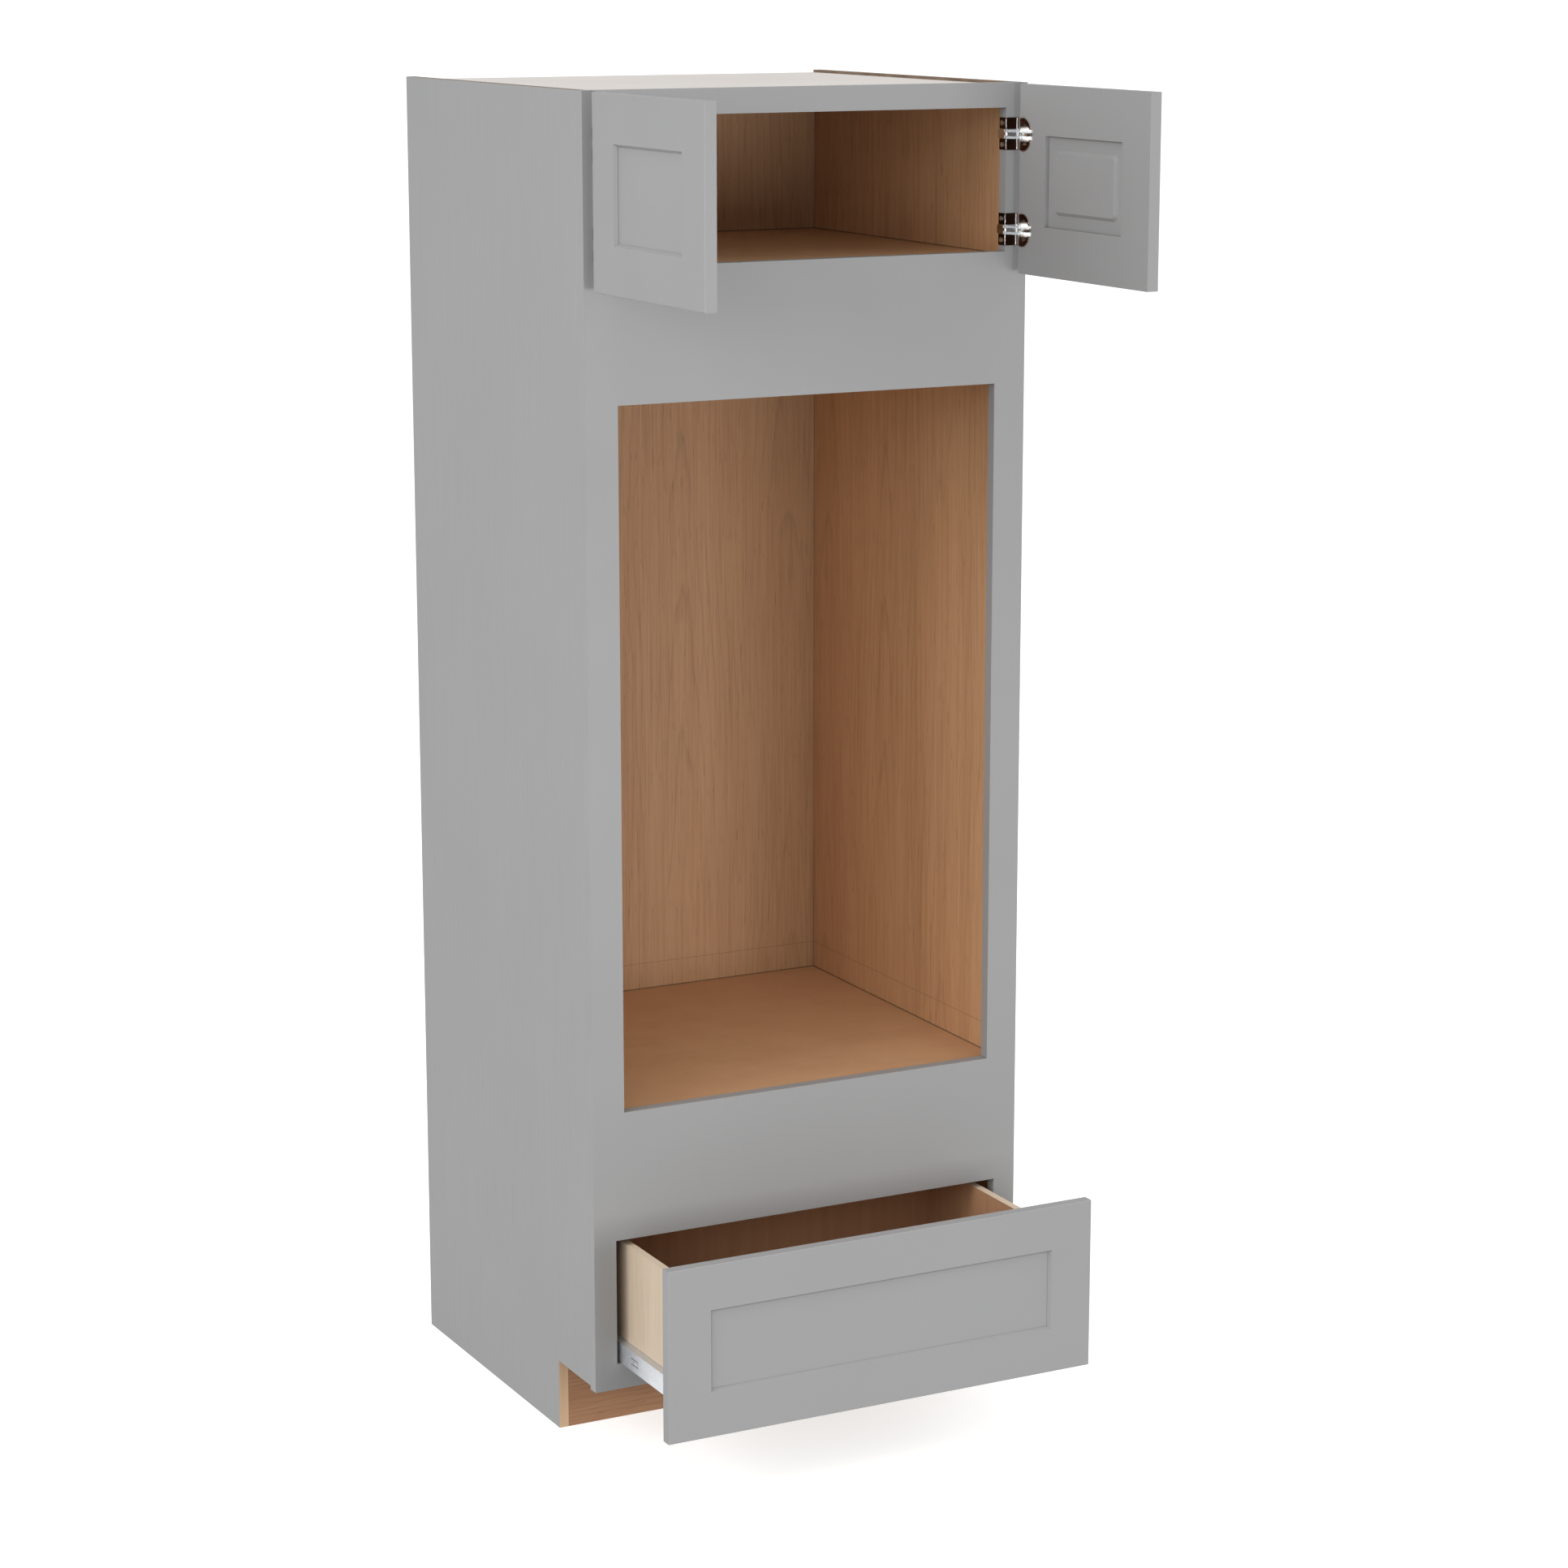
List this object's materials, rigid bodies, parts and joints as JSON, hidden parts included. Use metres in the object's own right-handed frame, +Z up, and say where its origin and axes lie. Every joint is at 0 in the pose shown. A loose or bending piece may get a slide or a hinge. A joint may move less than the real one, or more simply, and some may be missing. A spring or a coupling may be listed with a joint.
{
  "type": "pantry cabinet",
  "caption": "Tall face-frame oven and pantry cabinet: hinged doors over an appliance opening over a drawer on hidden telescopic runners, with a recessed toe kick.",
  "frame": {"origin": "on the floor, midway across the width, and midway between the back and the free edges of the open doors", "axes": "+Z up, front faces -Y, +X to the right seen from the front"},
  "size_m": [0.762, 1.08, 2.1336],
  "materials": {
    "grey_paint": "satin grey paint",
    "interior_maple": "clear-coated brown wood-grain board",
    "drawer_maple": "clear-coated light maple",
    "toe_kick_wood": "stained brown wood",
    "cream_board": "cream laminate",
    "softwood": "bare planed softwood",
    "runner_zinc": "bright zinc plate",
    "hinge_nickel": "polished nickel plate",
    "screw_steel": "zinc-plated steel",
    "clip_plastic": "moulded grey plastic"
  },
  "bodies": {
    "cabinet": {"back_panel": "interior_maple", "bottom_deck": "interior_maple", "corner_blocks": "softwood", "frame_rail_bottom": "grey_paint", "frame_rail_lower": "grey_paint", "frame_rail_top": "grey_paint", "frame_rail_upper": "grey_paint", "frame_stile_left": "grey_paint", "frame_stile_right": "grey_paint", "hanging_rail_bottom": "interior_maple", "hanging_rail_middle": "interior_maple", "hanging_rail_top": "interior_maple", "hinge_base_screws": "screw_steel", "hinge_bases_left": "hinge_nickel", "hinge_bases_right": "hinge_nickel", "oven_deck": "interior_maple", "oven_deck_cleats": "softwood", "oven_filler_left": "grey_paint", "oven_filler_right": "grey_paint", "rear_base_rail": "softwood", "runner_bearers": "softwood", "runner_fixed_member_left": "runner_zinc", "runner_fixed_member_right": "runner_zinc", "runner_rear_stops": "clip_plastic", "side_panel_left": "grey_paint", "side_panel_right": "grey_paint", "toe_kick_board": "toe_kick_wood", "top_panel": "cream_board", "upper_deck": "interior_maple"},
    "door_left": {"door_left_hinge_cups": "hinge_nickel", "door_left_hinge_stile": "grey_paint", "door_left_meeting_stile": "grey_paint", "door_left_panel": "grey_paint", "door_left_rail_bottom": "grey_paint", "door_left_rail_top": "grey_paint"},
    "door_right": {"door_right_hinge_cups": "hinge_nickel", "door_right_hinge_stile": "grey_paint", "door_right_meeting_stile": "grey_paint", "door_right_panel": "grey_paint", "door_right_rail_bottom": "grey_paint", "door_right_rail_top": "grey_paint"},
    "hinge_arms_left": {"hinge_arms_left": "hinge_nickel"},
    "hinge_arms_right": {"hinge_arms_right": "hinge_nickel"},
    "drawer": {"drawer_bottom": "drawer_maple", "drawer_box_back": "drawer_maple", "drawer_box_front": "drawer_maple", "drawer_front_panel": "grey_paint", "drawer_front_rail_bottom": "grey_paint", "drawer_front_rail_top": "grey_paint", "drawer_front_screws": "screw_steel", "drawer_front_stile_left": "grey_paint", "drawer_front_stile_right": "grey_paint", "drawer_lock_clips": "clip_plastic", "drawer_side_left": "drawer_maple", "drawer_side_right": "drawer_maple", "runner_drawer_member_left": "runner_zinc", "runner_drawer_member_right": "runner_zinc"},
    "runner_middle_left": {"runner_middle_member_left": "runner_zinc"},
    "runner_middle_right": {"runner_middle_member_right": "runner_zinc"}
  },
  "joints": [
    {"name": "door_right_hinge", "type": "hinge", "parent": "cabinet", "child": "door_right", "pos_m": [0.37465, -0.16689, 2], "axis": [0, 0, 1], "range_deg": [-90, 20]},
    {"name": "door_left_hinge", "type": "hinge", "parent": "cabinet", "child": "door_left", "pos_m": [-0.37465, -0.16689, 2], "axis": [0, 0, -1], "range_deg": [-90, 20]},
    {"name": "hinge_arms_right_turn", "type": "hinge", "parent": "cabinet", "child": "hinge_arms_right", "pos_m": [0.3396, -0.15184, 2], "axis": [0, 0, 1], "range_deg": [-13, 58.5]},
    {"name": "hinge_arms_left_turn", "type": "hinge", "parent": "cabinet", "child": "hinge_arms_left", "pos_m": [-0.3396, -0.15184, 2], "axis": [0, 0, -1], "range_deg": [-13, 58.5]},
    {"name": "drawer_slide", "type": "slide", "parent": "cabinet", "child": "drawer", "axis": [0, -1, 0], "range_m": [-0.23205, 0.148]},
    {"name": "runner_middle_left_slide", "type": "slide", "parent": "cabinet", "child": "runner_middle_left", "axis": [0, -1, 0], "range_m": [-0.11603, 0.074]},
    {"name": "runner_middle_right_slide", "type": "slide", "parent": "cabinet", "child": "runner_middle_right", "axis": [0, -1, 0], "range_m": [-0.11603, 0.074]}
  ],
  "couplings": [
    {"joint": "hinge_arms_right_turn", "follows": "door_right_hinge", "ratio": -0.65},
    {"joint": "hinge_arms_left_turn", "follows": "door_left_hinge", "ratio": -0.65},
    {"joint": "runner_middle_left_slide", "follows": "drawer_slide", "ratio": 0.5},
    {"joint": "runner_middle_right_slide", "follows": "drawer_slide", "ratio": 0.5}
  ]
}
